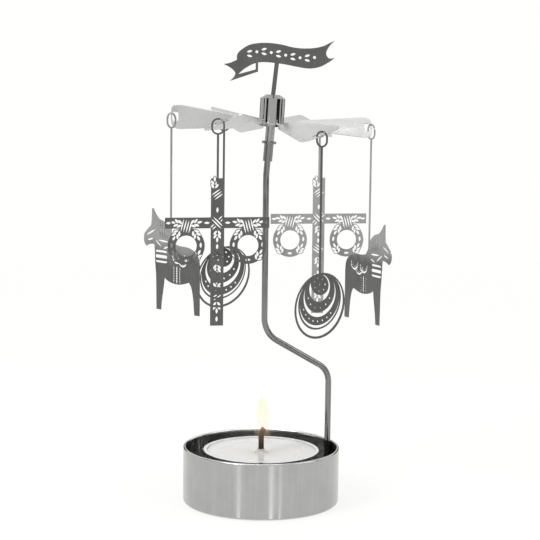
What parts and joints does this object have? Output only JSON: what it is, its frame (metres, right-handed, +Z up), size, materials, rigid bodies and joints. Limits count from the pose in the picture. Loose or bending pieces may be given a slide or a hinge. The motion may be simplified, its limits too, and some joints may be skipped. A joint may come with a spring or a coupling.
{
  "type": "rotary tealight candle holder",
  "caption": "Tealight candle carousel: a steel cup holds the candle, a bent rod carries a bladed rotor with hanging sheet-metal figures that turns in the warm air.",
  "frame": {"origin": "centre of the cup's underside, on the surface it stands on", "axes": "+Z up along the cup's axis, -Y towards the side the banner faces"},
  "size_m": [0.0805, 0.0642, 0.1517],
  "materials": {
    "satin_steel": "satin, drawn",
    "bright_steel": "polished wire and turned pieces",
    "sheet_steel": "etched bright sheet",
    "brass": "machined",
    "aluminium_foil": "bright drawn foil",
    "wax": "soft, waxy",
    "wick": "charred braid",
    "tab_steel": "pressed"
  },
  "bodies": {
    "stand": {"cup": "satin_steel", "support_rod": "bright_steel", "ferrule": "bright_steel", "stop_washer": "bright_steel", "pivot_pin": "bright_steel"},
    "rotor": {"bearing_seat": "brass", "hub_cap": "bright_steel", "retaining_ring": "bright_steel", "rotor_wheel": "sheet_steel", "banner": "sheet_steel"},
    "horse_right": {"horse_right": "sheet_steel"},
    "maypole_back": {"maypole_back": "sheet_steel"},
    "oval_back": {"oval_back": "sheet_steel"},
    "horse_left": {"horse_left": "sheet_steel"},
    "maypole_front": {"maypole_front": "sheet_steel"},
    "oval_front": {"oval_front": "sheet_steel"},
    "tealight": {"tealight_cup": "aluminium_foil", "wax": "wax", "wick": "wick", "wick_tab": "tab_steel"}
  },
  "joints": [
    {"name": "rotor_spin", "type": "hinge", "parent": "stand", "child": "rotor", "pos_m": [0.00241, 0, 0.13153], "axis": [0, 0, 1], "continuous": true},
    {"name": "horse_right_swing", "type": "hinge", "parent": "rotor", "child": "horse_right", "pos_m": [0.03432, -0.00083, 0.1232], "axis": [-0.848, -0.5299, 0], "range_deg": [-8, 8]},
    {"name": "maypole_back_swing", "type": "hinge", "parent": "rotor", "child": "maypole_back", "pos_m": [0.01851, 0.02724, 0.12135], "axis": [0.1392, -0.9903, 0], "range_deg": [-8, 8]},
    {"name": "oval_back_swing", "type": "hinge", "parent": "rotor", "child": "oval_back", "pos_m": [-0.01371, 0.02773, 0.12314], "axis": [-0.2079, -0.9781, 0], "range_deg": [-8, 8]},
    {"name": "horse_left_swing", "type": "hinge", "parent": "rotor", "child": "horse_left", "pos_m": [-0.03012, 0.00011, 0.12605], "axis": [0.682, 0.7314, 0], "range_deg": [-8, 8]},
    {"name": "maypole_front_swing", "type": "hinge", "parent": "rotor", "child": "maypole_front", "pos_m": [-0.01438, -0.028, 0.12649], "axis": [0.1564, -0.9877, 0], "range_deg": [-8, 8]},
    {"name": "oval_front_swing", "type": "hinge", "parent": "rotor", "child": "oval_front", "pos_m": [0.01768, -0.02853, 0.12299], "axis": [-0.5878, -0.809, 0], "range_deg": [-8, 8]},
    {"name": "tealight_lift", "type": "slide", "parent": "stand", "child": "tealight", "axis": [0, 0, 1], "range_m": [0, 0.018]}
  ]
}
